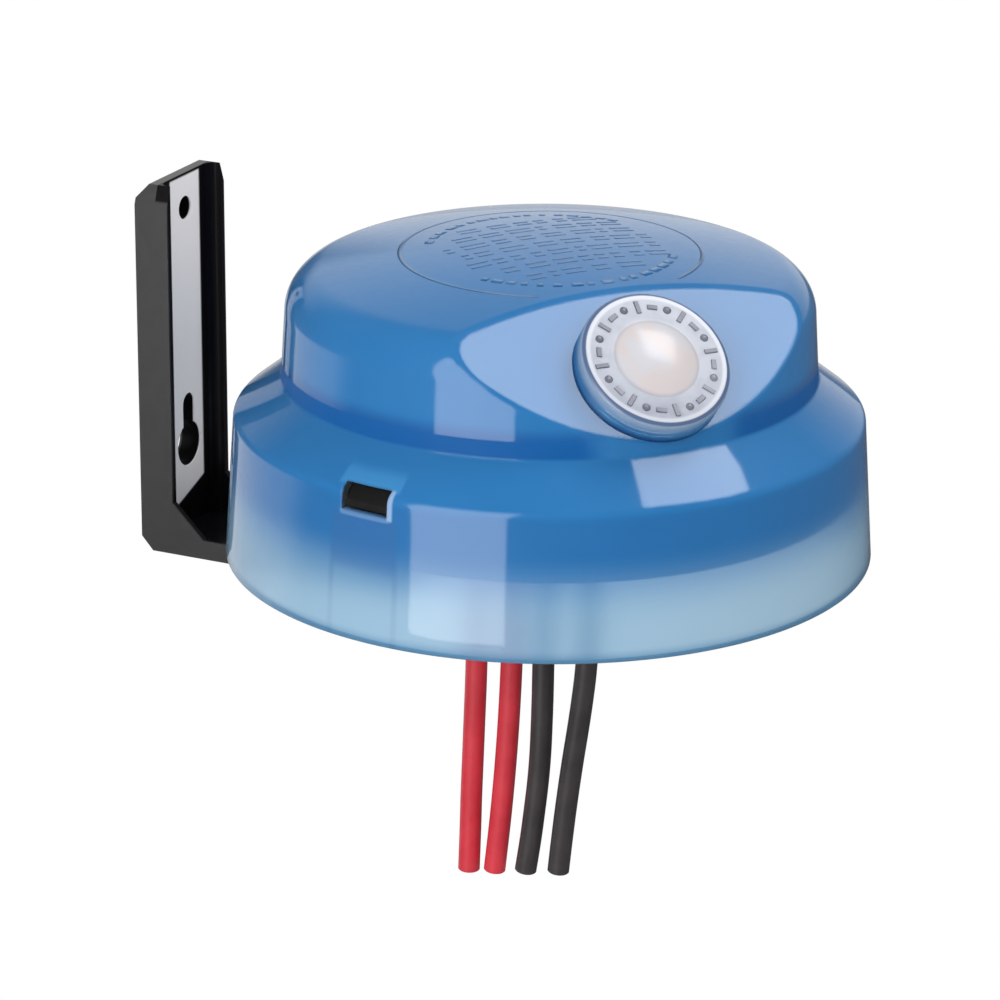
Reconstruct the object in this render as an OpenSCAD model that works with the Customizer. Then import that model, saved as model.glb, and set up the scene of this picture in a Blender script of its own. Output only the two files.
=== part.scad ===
// Photocell switch: a stepped translucent cover on a round base, held by an L-shaped wall bracket.
// The origin lies on the bracket's wall face, at the level of the cover's lower rim.
// +X points away from the wall towards the cover's axis, and +Z points up.

/* [Cover] */
// Radius of the cover at its lower rim
rim_r = 40; // [39.6:0.1:42]
// Height of the skirt, up to the shoulder
skirt_h = 18; // [17.8:0.1:18.6]
// Loss of radius over the skirt's height
skirt_taper = 1.2; // [0.8:0.1:1.4]
// Radial width of the shoulder
shoulder_w = 5.9; // [5.2:0.1:6.2]
// Height of the shoulder
shoulder_h = 4.6; // [4:0.1:5]
// Loss of radius over the upper body's height
upper_taper = 0.5; // [0.2:0.1:0.8]
// Height of the cover from rim to crown
cover_h = 39.3; // [38.8:0.1:41]
// Spherical radius of the crowned top
crown_r = 127; // [110:1:160]
// Rounding between the upper body and the top
top_edge_r = 5.4; // [4:0.1:6]
// Rounding of the shoulder's outer edge
shoulder_edge_r = 2; // [1:0.1:2.5]
// Radial width of the steeper band between the shoulder and the upper body
shoulder_root_w = 1.9; // [1.6:0.1:2.2]
// Height of that band above the shoulder's own slope
shoulder_root_h = 0.8; // [0.6:0.1:1]
// Rounding at the edges of that band
shoulder_root_r = 0.6; // [0.4:0.1:0.8]
// Wall thickness of the cover
cover_t = 1.8; // [1.6:0.1:2]

/* [Top mark] */
// Radius of the raised ring on the top
mark_ring_r = 18.4; // [16:0.1:18.8]
// Height of the raised marks
mark_h = 0.3; // [0.2:0.05:0.4]
// Width of the raised ring and bars
mark_w = 0.8; // [0.6:0.1:1]

/* [Facet and lens] */
// Direction of the facet around the cover's axis, from +X
facet_az = -39.5; // [-45:0.5:-35]
// Distance of the facet's upper edge from the cover's axis
facet_head_r = 17.5; // [17:0.1:18.5]
// Height of the facet's lower edge above the shoulder
facet_foot = 1.6; // [1:0.1:2.2]
// Distance of the lens centre from the facet's lower edge, up the slope
lens_up = 8.85; // [8.6:0.05:9.2]
// Radius of the lens flange
lens_r = 9.2; // [8.8:0.1:9.6]
// Height of the lens flange above the facet
lens_rise = 3.8; // [3.2:0.1:4.2]
// Radius of the domed centre of the lens
lens_dome_r = 5.2; // [4.5:0.1:5.4]
// Height of the domed centre over the flange's face
lens_dome_h = 0.9; // [0.5:0.1:1.2]
// Radius of the lens neck that passes through the facet
lens_neck_r = 6.8; // [6.6:0.1:6.9]
// Wall thickness of the lens neck
lens_neck_t = 1.2; // [1:0.1:1.4]
// Depth of the lens neck below the facet
lens_neck_h = 4.2; // [3.8:0.1:4.6]
// Thickness of the flat seal under the lens flange
lens_seal_t = 0.8; // [0.6:0.1:1]

/* [Snap windows] */
// Direction of the first snap window around the cover's axis, from +X
window_az = -98.5; // [-101:0.5:-96]
// Width of a snap window
window_w = 6.4; // [6:0.1:6.8]
// Height of a snap window's lower edge above the rim
window_z = 15.7; // [15.6:0.1:15.9]
// Height of a snap window
window_h = 3.1; // [2.9:0.1:3.3]

/* [Base] */
// Height of the base's underside above the rim
base_z = 9; // [8.6:0.1:9.2]
// Thickness of the base plate
base_t = 3; // [2.8:0.1:3.2]
// Height of the base's upstand above its underside
base_wall_h = 6; // [5.6:0.1:6.2]
// Thickness of the base's upstand
base_wall_t = 1.6; // [1.4:0.1:2]
// Height of the base seal's section
base_seal_h = 1.4; // [1.2:0.1:1.6]
// Depth of the groove that holds the base seal
base_groove_d = 1.3; // [1.1:0.1:1.5]

/* [Bracket] */
// Distance of the cover's axis from the wall
axis_x = 54; // [53.5:0.1:57]
// Width of the bracket
bracket_w = 14.7; // [14:0.1:16]
// Height of the bracket's top above the rim
bracket_top = 41.6; // [41:0.1:44]
// Depth of the bracket's upright from the wall
bracket_d = 4.6; // [4.4:0.1:5]
// Thickness of the bracket's web
web_t = 3; // [2.6:0.1:3.2]
// Thickness of the bracket's flanges
flange_t = 1; // [0.8:0.1:1.4]
// Drop of the bracket's underside below the rim
foot_drop = 6.8; // [6.6:0.1:7.6]
// Height of the flanges along the foot
foot_h = 2.5; // [2.3:0.1:2.7]
// Thickness of the foot's floor
foot_t = 1.6; // [1.4:0.1:1.8]
// Distance of the foot's first screw from the edge of the base
foot_post_inset = 5.9; // [5:0.1:7]
// Distance between the foot's screws
foot_post_pitch = 10; // [8:0.1:11]
// Length of the foot beyond its last screw
foot_over = 5; // [4:0.1:5.4]
// Leg of the slope between the upright's flanges and the foot's
gusset = 4.3; // [3.5:0.1:5]
// Depth of the bevel on the bracket's back edges
back_bevel_d = 1.6; // [1.2:0.1:1.8]
// Height of the bevel on the bracket's back edges
back_bevel_h = 1.8; // [1.2:0.1:2]
// Rounding of the inside corners between the bracket's web and flanges
channel_r = 1.4; // [0.8:0.1:1.5]
// Width of the cut on the bracket's upper corners
corner_cut_w = 1; // [0.6:0.1:1.4]
// Height of the cut on the bracket's upper corners
corner_cut_h = 2.6; // [1.6:0.1:3]
// Height of the round screw hole above the rim
hole_z = 37.1; // [35:0.1:37.2]
// Radius of the round screw hole
hole_r = 1.5; // [1.3:0.1:1.7]
// Height of the keyhole's round part above the rim
key_z = 5.7; // [5.5:0.1:7]
// Radius of the keyhole's round part
key_r = 2.9; // [2.6:0.1:3.1]
// Width of the keyhole's slot
key_slot_w = 2.8; // [2.4:0.1:3.2]
// Distance of the slot's end centre above the keyhole's round part
key_slot_l = 5.4; // [4.5:0.1:6]

/* [Board] */
// Radius of the circuit board
board_r = 31; // [30:0.1:31.5]
// Thickness of the circuit board
board_t = 1.6; // [1.2:0.1:1.8]
// Height of the board's underside above the base plate
board_gap = 3.5; // [3.4:0.1:3.8]

/* [Leads] */
// Diameter of a lead over its insulation
lead_d = 2.8; // [2.6:0.1:3]
// Distance between neighbouring leads where they leave the base
lead_pitch = 5; // [4.8:0.1:5.2]
// Distance of the middle of the lead row from the cover's axis, towards the wall
lead_row_x = 2.1; // [1.6:0.1:2.4]

/* [Hidden] */
// Clearance between pieces that slide together
fit = 0.1;
// Clearance between moulded pieces that snap together
snap_fit = 0.3;
// Overlap that joins solids and makes cuts run through
over = 0.5;
// Smoothness of round surfaces
$fn = 96;

skirt_top_r = rim_r - skirt_taper;
upper_r = skirt_top_r - shoulder_w;
shoulder_z = skirt_h + shoulder_h;
shoulder_slope = atan2(shoulder_h, shoulder_w);
top_r = upper_r - upper_taper;

// Plane of the facet: tilt of its normal, distance from the rim's centre, and the lens place in it
facet_z = shoulder_z + facet_foot;
facet_head_z = cover_h - crown_r + sqrt(pow(crown_r, 2) - pow(facet_head_r, 2));
facet_tilt = atan2(upper_r - facet_head_r, facet_head_z - facet_z);
facet_h = upper_r * cos(facet_tilt) + facet_z * sin(facet_tilt);
lens_shift = upper_r * sin(facet_tilt) - facet_z * cos(facet_tilt) - lens_up;

base_top = base_z + base_wall_h;
base_r = rim_r - cover_t - skirt_taper * base_top / skirt_h - snap_fit;
base_plate_top = base_z + base_t;
base_seal_z = base_z + (base_t - base_seal_h) / 2;
board_z = base_plate_top + board_gap;
board_top = board_z + board_t;

lens_hole_r = lens_neck_r + fit;
seal_in_r = lens_hole_r + 0.3;
seal_out_r = seal_in_r + 1;
holder_t = 0.9;
holder_in_r = lens_neck_r + fit;
holder_depth = 4.6;
sensor_r = 4.4;
sensor_t = 2;
sensor_leg_r = 0.3;
sensor_leg_gap = 3.4;
sensor_leg_tail = 2.6;

arm_w = window_w - 2 * snap_fit;
arm_out_r = base_r - 0.1;
arm_in_r = arm_out_r - 1.6;
nose_out_r = skirt_top_r - 0.4;
window_count = 2;
pocket_d = 0.7;
pocket_h = 12.4;
guide_gap = 8.8;
guide_w = 0.8;
guide_d = 1;
guide_in_r = rim_r - skirt_taper / 2 - cover_t - guide_d;
stop_count = 3 * window_count;
stop_w = 1.4;

foot_floor_z = foot_t - foot_drop;
foot_post_r = 3.3;
foot_post_x = [for (i = [0, 1]) axis_x - base_r + foot_post_inset + i * foot_post_pitch];
foot_l = foot_post_x[1] + foot_over;
screw_r = 1.5;
screw_head_r = 3.1;
screw_head_h = 2.1;
screw_l = 14;

board_post_r = 3;
board_post_ring = 25;
board_post_az = [60, 180, 300];
board_screw_r = 1.1;
board_screw_head_r = 2.2;
board_screw_head_h = 1.6;
board_screw_l = 4.6;
leg_r = 0.3;

// Parts on the board: sizes as length, width and height, and places from the cover's axis
relay_headroom = 6.9;
relay_size = [19, 15.5, cover_h - board_top - relay_headroom];
relay_at = [-11, 12];
film_headroom = 8.2;
film_size = [18, 8, cover_h - board_top - film_headroom];
film_at = [-11, -11];
block_bevel = 0.6;
can_r = 5;
can_headroom = 6.2;
can_h = cover_h - board_top - can_headroom;
can_in = 8;
can_ring = board_post_ring - can_in;
can_neck_z = 1.4;
can_neck_h = 0.6;
can_neck_d = 0.3;
varistor_r = 5;
varistor_t = 4;
varistor_at = [20, 10];
varistor_leg_h = 1.4;
varistor_leg_gap = 2.5;
diode_r = 1.35;
diode_l = 5.2;
diode_span = 10;
diode_pitch = 4;
diode_at = [4, 2];
zener_r = 1;
zener_l = 3.8;
zener_span = 7.5;
zener_at = [20, -0.5];
resistor_r = 1.2;
resistor_l = 6.3;
resistor_span = 9;
resistor_pitch = 5;
resistor_at = [-17, -1.4];
axial_lift = 0.6;
transistor_r = 2.4;
transistor_h = 4.8;
transistor_flat = 1.4;
transistor_leg_h = 2.4;
transistor_leg_pitch = 1.27;
transistor_at = [1, -10];

lead_count = 4;
grommet_l = (lead_count - 1) * lead_pitch + 7;
grommet_w = 6.4;
grommet_lip = 1;
grommet_lip_t = 1;
lead_first_x = axis_x - lead_row_x - (lead_count - 1) / 2 * lead_pitch;
lead_top = board_z;
lead_sides = 8;

// Routes of the leads, each as [shift in X, shift in Y, height], from the board to the free end
red_1_route = [[0, 0, lead_top], [0, 0, 8], [0, 0, 4], [0, 0, 0], [-0.05, 0, -4], [-0.1, 0, -8],
    [-0.15, 0, -12], [-0.2, 0, -16], [-0.3, 0, -20], [-0.45, 0, -24], [-0.6, 0, -28], [-0.75, 0, -32],
    [-0.9, 0, -36], [-1, 0, -40], [-1.2, 0, -46]];
red_2_route = [[0, 0, lead_top], [0, 0, 8], [0, 0, 4], [-0.05, 0, 0], [-0.1, 0, -4], [-0.15, 0, -8],
    [-0.25, 0, -12], [-0.3, 0, -16], [-0.45, 0, -20], [-0.65, 0, -24], [-0.9, 0, -28], [-1.2, 0, -32],
    [-1.55, 0, -36], [-1.95, 0, -40], [-2.55, 0, -45.4]];
black_1_route = [[0, 0, lead_top], [0, 0, 8], [-0.1, 0, 4], [-0.25, 0, 0], [-0.45, 0, -4], [-0.65, 0, -8],
    [-0.8, 0, -12], [-0.9, 0, -16], [-0.95, 0, -20], [-1.05, 0, -24], [-1.2, 0, -28], [-1.5, 0, -32],
    [-1.95, 0, -36], [-2.45, 0, -40], [-3.15, 0, -44.6]];
black_2_route = [[0, 0, lead_top], [0, 0, 8], [0.1, 0, 4], [0.25, 0, 0], [0.35, 0, -4], [0.35, 0, -8],
    [0.2, 0, -12], [-0.05, 0, -16], [-0.5, 0, -20], [-1.05, 0, -24], [-1.65, 0, -28], [-2.2, 0, -32],
    [-2.7, 0, -36], [-3.15, 0, -40], [-3.55, 0, -43.8]];

plastic_blue = [0.22, 0.46, 0.72];
plastic_black = [0.1, 0.1, 0.11];
plastic_white = [0.88, 0.88, 0.86];
rubber_black = [0.06, 0.06, 0.07];
clear_plastic = [0.85, 0.88, 0.92];
steel = [0.7, 0.7, 0.72];
lead_red = [0.78, 0.16, 0.22];
lead_black = [0.14, 0.13, 0.14];

// Helpers for outlines and places

function unit(v) = v / norm(v);

// Points of an arc about c, from angle a0 to a1, in n steps
function arc(c, r, a0, a1, n) =
    [for (i = [0:n]) let (a = a0 + (a1 - a0) * i / n) c + r * [cos(a), sin(a)]];

// Points that round the corner p between its neighbours a and b
function corner(a, p, b, r, n) =
    let (
        u = unit(a - p),
        w = unit(b - p),
        half = acos(u * w) / 2,
        c = p + unit(u + w) * r / sin(half),
        s = p + u * r / tan(half) - c,
        e = p + w * r / tan(half) - c,
        a0 = atan2(s[1], s[0]),
        turn = (atan2(e[1], e[0]) - a0 + 540) % 360 - 180
    )
    arc(c, r, a0, a0 + turn, n);

// Half section of the dome, drawn in by inset from the cover's outside
function dome_outline(inset) =
    let (
        drop = inset * (1 - sin(shoulder_slope)) / cos(shoulder_slope),
        rim = [rim_r - inset, 0],
        edge = [skirt_top_r - inset, skirt_h - drop],
        root = [upper_r - inset, shoulder_z - drop],
        root_low = root + shoulder_root_w * [1, -tan(shoulder_slope)],
        root_high = root + [0, shoulder_root_h],
        ball = crown_r - inset,
        ball_c = [0, cover_h - crown_r],
        round_r = top_edge_r - inset,
        round_x = top_r - top_edge_r,
        round_z = ball_c[1] + sqrt(pow(ball - round_r, 2) - pow(round_x, 2)),
        lean = asin(round_x / (ball - round_r)),
        top = [top_r - inset, round_z]
    )
    concat(
        [[0, inset > 0 ? -over : 0], [rim[0], inset > 0 ? -over : 0]],
        corner(rim, edge, root_low, shoulder_edge_r, 5),
        corner(edge, root_low, root_high, shoulder_root_r, 2),
        corner(root_low, root_high, top, shoulder_root_r, 3),
        arc([round_x, round_z], round_r, 0, 90 - lean, 8),
        [for (i = [1:9]) ball_c + ball * [sin(lean * (1 - i / 9)), cos(lean * (1 - i / 9))]]
    );

module dome(inset) {
    rotate_extrude($fn = 180) polygon(dome_outline(inset));
}

module on_axis() {
    translate([axis_x, 0, 0]) children();
}

// Puts children at the lens place: Z along the facet's normal, Z = 0 on the facet's outer face
module on_facet() {
    rotate([0, 0, facet_az]) rotate([0, 90 - facet_tilt, 0]) translate([lens_shift, 0, facet_h]) children();
}

// Everything further out than the facet's plane, drawn in by inset
module beyond_facet(inset) {
    on_facet() translate([-60, -60, -inset]) cube([120, 120, 60]);
}

module at_windows() {
    for (i = [0:window_count - 1]) rotate([0, 0, window_az + 360 / window_count * i]) children();
}

// Ring with a flat section
module ring(in_r, out_r, h) {
    rotate_extrude() translate([in_r, 0]) square([out_r - in_r, h]);
}

// Flat slot with round ends, standing on Z = 0
module round_slot(l, w, h) {
    translate([-(l - w) / 2, -w / 2, 0]) cube([l - w, w, h]);
    for (side = [-1, 1]) translate([side * (l - w) / 2, 0, 0]) cylinder(d = w, h = h);
}

// Pan-head screw with a cross slot: the head stands on Z = 0 and the shank points down
module pan_screw(shank_r, shank_l, head_r, head_h) {
    difference() {
        union() {
            translate([0, 0, -shank_l]) cylinder(r = shank_r, h = shank_l + over);
            translate([0, 0, 0]) cylinder(r = head_r, h = head_h * 0.55);
            translate([0, 0, head_h * 0.55]) cylinder(r1 = head_r, r2 = head_r * 0.7, h = head_h * 0.45);
        }
        for (turn = [0, 90]) {
            rotate([0, 0, turn]) translate([-head_r * 0.6, -0.35, head_h * 0.5])
                cube([head_r * 1.2, 0.7, head_h]);
        }
    }
}

// Axial part lying along Y above the board: a round body with two bent legs
module axial_part(body_r, body_l, span) {
    lift = body_r + axial_lift;
    translate([0, -body_l / 2, lift]) rotate([-90, 0, 0]) cylinder(r = body_r, h = body_l);
    translate([0, -span / 2, lift]) rotate([-90, 0, 0]) cylinder(r = leg_r, h = span);
    for (side = [-1, 1]) {
        translate([0, side * span / 2, 0]) cylinder(r = leg_r, h = lift);
        translate([0, side * span / 2, lift]) sphere(r = leg_r);
    }
}

module on_board(at) {
    translate([axis_x + at[0], at[1], board_top]) children();
}

// Cover and lens

module cover_marks() {
    ring(mark_ring_r - mark_w / 2, mark_ring_r + mark_w / 2, cover_h + 5);
    for (row = [-2:2]) {
        half = 13 - 2 * abs(row);
        count = 6 - abs(row);
        for (i = [0:count - 1]) {
            wide = 2 * half / count;
            translate([-half + wide * i, row * 4 - mark_w, 0])
                cube([wide * (0.5 + 0.25 * (i % 2)), 2 * mark_w, cover_h + 5]);
        }
    }
}

module cover() {
    color(plastic_blue) on_axis() difference() {
        union() {
            difference() {
                dome(0);
                difference() {
                    dome(cover_t);
                    beyond_facet(cover_t);
                }
            }
            // raised ring and bars on the crown
            intersection() {
                dome(-mark_h);
                rotate([0, 0, facet_az + 90]) cover_marks();
                translate([0, 0, cover_h - 2.5]) cylinder(r = mark_ring_r + 2, h = 10);
                difference() {
                    cylinder(r = rim_r, h = cover_h + 5);
                    dome(cover_t / 2);
                }
            }
            // stops that the base's upstand bears on
            intersection() {
                for (i = [0:stop_count - 1]) {
                    rotate([0, 0, window_az + 360 / stop_count * (i + 0.5)])
                        translate([arm_in_r, -stop_w / 2, base_top]) cube([10, stop_w, 10]);
                }
                dome(cover_t / 2);
            }
            // guides beside each window, below the base
            intersection() {
                at_windows() for (side = [-1, 1]) {
                    translate([guide_in_r, side * guide_gap / 2 - guide_w / 2, over])
                        cube([10, guide_w, base_z - 2 * over]);
                }
                dome(cover_t / 2);
            }
        }
        beyond_facet(0);
        on_facet() translate([0, 0, -2 * cover_t]) cylinder(r = lens_hole_r, h = 4 * cover_t);
        at_windows() translate([arm_in_r - 1, -window_w / 2, window_z]) cube([10, window_w, window_h]);
        // thinner wall around each window
        intersection() {
            at_windows() translate([guide_in_r - 5, -guide_gap / 2, base_z]) cube([15, guide_gap, pocket_h]);
            dome(cover_t - pocket_d);
        }
    }
}

// Half section of the lens: flange with a bevelled edge, domed centre, hollow neck
function lens_outline() =
    let (
        face = lens_rise,
        ball = (pow(lens_dome_r, 2) + pow(lens_dome_h, 2)) / (2 * lens_dome_h),
        lean = asin(lens_dome_r / ball),
        bowl_r = lens_neck_r - lens_neck_t
    )
    concat(
        [[0, face - 2.2], [bowl_r - 0.8, face - 2.2], [bowl_r, face - 3], [bowl_r, -lens_neck_h]],
        [[lens_neck_r, -lens_neck_h], [lens_neck_r, 0], [lens_r, 0]],
        arc([lens_r - 0.7, face - 0.7], 0.7, 0, 90, 4),
        [for (i = [0:6]) let (a = lean * (1 - i / 6)) [0, face + lens_dome_h - ball] + ball * [sin(a), cos(a)]]
    );

module lens() {
    color(clear_plastic) on_axis() on_facet() {
        difference() {
            rotate_extrude() polygon(lens_outline());
            translate([0, 0, -over]) ring(seal_in_r - fit, seal_out_r + fit, lens_seal_t + over);
        }
        // raised marks around the domed centre
        for (i = [0:11]) {
            rotate([0, 0, 30 * i]) translate([lens_dome_r + 1.3, -0.3 - 0.3 * (i % 3), lens_rise - over])
                cube([1.6, 0.6 + 0.6 * (i % 3), over + 0.25]);
        }
    }
}

module lens_seal() {
    color(rubber_black) on_axis() on_facet() ring(seal_in_r, seal_out_r, lens_seal_t);
}

module sensor_holder() {
    color(plastic_white) on_axis() on_facet() translate([0, 0, -cover_t]) difference() {
        translate([0, 0, -holder_depth - holder_t])
            cylinder(r = holder_in_r + holder_t, h = holder_depth + holder_t);
        translate([0, 0, -holder_depth]) cylinder(r = holder_in_r, h = holder_depth + over);
        for (side = [-1, 1]) {
            translate([0, side * sensor_leg_gap / 2, -holder_depth - holder_t - over])
                cylinder(r = sensor_leg_r + 0.3, h = holder_t + 2 * over);
        }
    }
}

module photocell() {
    seat = -cover_t - holder_depth;
    end = seat - sensor_leg_tail;
    color([0.85, 0.72, 0.6]) on_axis() {
        on_facet() {
            translate([0, 0, seat]) cylinder(r = sensor_r, h = sensor_t);
            for (side = [-1, 1]) {
                translate([0, side * sensor_leg_gap / 2, end])
                    cylinder(r = sensor_leg_r, h = sensor_leg_tail + over);
                translate([0, side * sensor_leg_gap / 2, end]) sphere(r = sensor_leg_r + 0.05);
            }
        }
        // legs go straight down from the bend to the board
        bend_r = (facet_h + end) * cos(facet_tilt) + lens_shift * sin(facet_tilt);
        bend_z = (facet_h + end) * sin(facet_tilt) - lens_shift * cos(facet_tilt);
        rotate([0, 0, facet_az]) for (side = [-1, 1]) {
            translate([bend_r, side * sensor_leg_gap / 2, board_top])
                cylinder(r = sensor_leg_r, h = bend_z - board_top);
        }
    }
}

// Base and bracket

module snap_hook() {
    nose_z = window_z + snap_fit;
    nose_h = window_h - 2 * snap_fit;
    translate([arm_in_r, -arm_w / 2, base_plate_top - over])
        cube([arm_out_r - arm_in_r, arm_w, nose_z + nose_h - base_plate_top + over]);
    translate([0, arm_w / 2, 0]) rotate([90, 0, 0]) linear_extrude(arm_w)
        polygon([[arm_out_r - over, nose_z], [nose_out_r, nose_z], [nose_out_r, nose_z + 0.8],
            [arm_out_r, nose_z + nose_h], [arm_out_r - over, nose_z + nose_h]]);
}

module base() {
    color(plastic_black) {
        on_axis() difference() {
            union() {
                translate([0, 0, base_z]) cylinder(r = base_r, h = base_t);
                translate([0, 0, base_z]) ring(base_r - base_wall_t, base_r, base_wall_h);
                at_windows() snap_hook();
                for (az = board_post_az) {
                    rotate([0, 0, az]) translate([board_post_ring, 0, base_plate_top - over])
                        cylinder(r = board_post_r, h = board_gap + over);
                }
                for (x = foot_post_x) {
                    translate([x - axis_x, 0, foot_floor_z])
                        cylinder(r = foot_post_r, h = base_z - foot_floor_z + over);
                }
                translate([foot_post_x[0] - axis_x, -0.8, 0])
                    cube([foot_post_x[1] - foot_post_x[0], 1.6, base_z + over]);
            }
            translate([0, 0, base_seal_z]) ring(base_r - base_groove_d, base_r + over, base_seal_h);
            for (az = board_post_az) {
                rotate([0, 0, az]) translate([board_post_ring, 0, base_plate_top])
                    cylinder(r = board_screw_r + 0.05, h = board_gap + over);
            }
            for (x = foot_post_x) {
                translate([x - axis_x, 0, foot_floor_z - over])
                    cylinder(r = screw_r + 0.05, h = screw_l + over);
            }
            translate([-lead_row_x, 0, base_z - over]) round_slot(grommet_l, grommet_w, base_t + 2 * over);
        }
    }
}

module base_seal() {
    color(rubber_black) on_axis() translate([0, 0, base_seal_z])
        ring(base_r - base_groove_d + fit, base_r + 0.2, base_seal_h);
}

module lead_grommet() {
    flange_l = grommet_l + 2 * grommet_lip;
    flange_w = grommet_w + 2 * grommet_lip;
    color(rubber_black) difference() {
        translate([axis_x - lead_row_x, 0, base_z]) {
            round_slot(grommet_l - 2 * fit, grommet_w - 2 * fit, base_t);
            translate([0, 0, -grommet_lip_t]) round_slot(flange_l, flange_w, grommet_lip_t);
            translate([0, 0, base_t]) round_slot(flange_l, flange_w, grommet_lip_t);
        }
        for (i = [0:lead_count - 1]) {
            translate([lead_first_x + i * lead_pitch, 0, base_z - 2])
                cylinder(d = lead_d + 2 * fit, h = base_t + 4);
        }
    }
}

// Section of the channel from above: its web side on X = 0, with round inside corners
module channel_outline() {
    half = bracket_w / 2 - flange_t;
    translate([0, channel_r - half]) square([foot_l, 2 * (half - channel_r)]);
    translate([channel_r, -half]) square([foot_l, 2 * half]);
    for (side = [-1, 1]) translate([channel_r, side * (half - channel_r)]) circle(r = channel_r);
}

// Outline, seen along X, of what is cut from an upper corner
module corner_outline() {
    half = bracket_w / 2;
    polygon([[half - corner_cut_w, bracket_top], [half, bracket_top - corner_cut_h],
        [half + over, bracket_top - corner_cut_h], [half + over, bracket_top + over],
        [half - corner_cut_w, bracket_top + over]]);
}

module bracket() {
    low = -foot_drop;
    lip = low + foot_h;
    color(plastic_black) difference() {
        translate([0, bracket_w / 2, 0]) rotate([90, 0, 0]) linear_extrude(bracket_w)
            polygon([[0, low + back_bevel_h], [back_bevel_d, low], [foot_l, low], [foot_l, lip],
                [bracket_d + gusset, lip], [bracket_d, lip + gusset], [bracket_d, bracket_top],
                [back_bevel_d, bracket_top], [0, bracket_top - back_bevel_h]]);
        // channel between the flanges
        translate([web_t, 0, foot_floor_z]) linear_extrude(bracket_top - foot_floor_z + over) channel_outline();
        for (side = [0, 1]) mirror([0, side, 0]) translate([-over, 0, 0]) rotate([90, 0, 90])
            linear_extrude(bracket_d + 2 * over) corner_outline();
        translate([-over, 0, hole_z]) rotate([0, 90, 0]) cylinder(r = hole_r, h = web_t + 2 * over);
        translate([-over, 0, key_z]) rotate([0, 90, 0]) cylinder(r = key_r, h = web_t + 2 * over);
        translate([-over, -key_slot_w / 2, key_z]) cube([web_t + 2 * over, key_slot_w, key_slot_l]);
        translate([-over, 0, key_z + key_slot_l]) rotate([0, 90, 0])
            cylinder(d = key_slot_w, h = web_t + 2 * over);
        for (x = foot_post_x) {
            translate([x, 0, low - over]) cylinder(r = screw_r + 0.3, h = foot_t + 2 * over);
        }
    }
}

module bracket_screws() {
    color(steel) for (x = foot_post_x) {
        translate([x, 0, -foot_drop]) rotate([180, 0, 0])
            pan_screw(screw_r, screw_l, screw_head_r, screw_head_h);
    }
}

// Circuit board and its parts

module circuit_board() {
    color([0.1, 0.35, 0.2]) on_axis() difference() {
        translate([0, 0, board_z]) cylinder(r = board_r, h = board_t);
        for (az = board_post_az) {
            rotate([0, 0, az]) translate([board_post_ring, 0, board_z - over])
                cylinder(r = board_screw_r + 0.2, h = board_t + 2 * over);
        }
    }
}

module board_screws() {
    color(steel) on_axis() for (az = board_post_az) {
        rotate([0, 0, az]) translate([board_post_ring, 0, board_top])
            pan_screw(board_screw_r, board_screw_l, board_screw_head_r, board_screw_head_h);
    }
}

// Moulded block on the board with a stepped top edge
module moulded_block(size) {
    inner = size - [2, 2, 0] * block_bevel;
    translate([-size[0] / 2, -size[1] / 2, 0]) cube([size[0], size[1], size[2] - block_bevel]);
    translate([-inner[0] / 2, -inner[1] / 2, 0]) cube(inner);
}

module relay() {
    color([0.12, 0.25, 0.45]) on_board(relay_at) moulded_block(relay_size);
}

module film_capacitor() {
    color([0.7, 0.55, 0.15]) on_board(film_at) moulded_block(film_size);
}

// Round can with a crimped neck near its foot
module electrolytic_capacitor() {
    az = board_post_az[0];
    color([0.15, 0.15, 0.2]) on_board(can_ring * [cos(az), sin(az)]) difference() {
        cylinder(r = can_r, h = can_h);
        translate([0, 0, can_neck_z]) ring(can_r - can_neck_d, can_r + over, can_neck_h);
    }
}

module varistor() {
    color([0.2, 0.35, 0.7]) on_board(varistor_at) {
        translate([-varistor_t / 2, 0, varistor_r + varistor_leg_h]) rotate([0, 90, 0])
            cylinder(r = varistor_r, h = varistor_t);
        for (side = [-1, 1]) {
            translate([side * varistor_t / 5, side * varistor_leg_gap, 0])
                cylinder(r = leg_r, h = varistor_leg_h + varistor_r / 2);
        }
    }
}

module rectifier_diodes() {
    color([0.12, 0.12, 0.12]) for (i = [0:3]) {
        on_board(diode_at + [i * diode_pitch, 0]) axial_part(diode_r, diode_l, diode_span);
    }
}

module zener_diode() {
    color([0.75, 0.35, 0.15]) on_board(zener_at) axial_part(zener_r, zener_l, zener_span);
}

module resistors() {
    color([0.8, 0.68, 0.5]) for (i = [0:2]) {
        on_board(resistor_at + [i * resistor_pitch, 0]) axial_part(resistor_r, resistor_l, resistor_span);
    }
}

module transistor() {
    color([0.1, 0.1, 0.1]) on_board(transistor_at) {
        translate([0, 0, transistor_leg_h]) difference() {
            cylinder(r = transistor_r, h = transistor_h);
            translate([-2 * transistor_r, transistor_flat, -over])
                cube([4 * transistor_r, transistor_r, transistor_h + 2 * over]);
        }
        for (i = [-1:1]) {
            translate([i * transistor_leg_pitch, 0, 0]) cylinder(r = leg_r, h = transistor_leg_h + over);
        }
    }
}

// Leads

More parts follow.
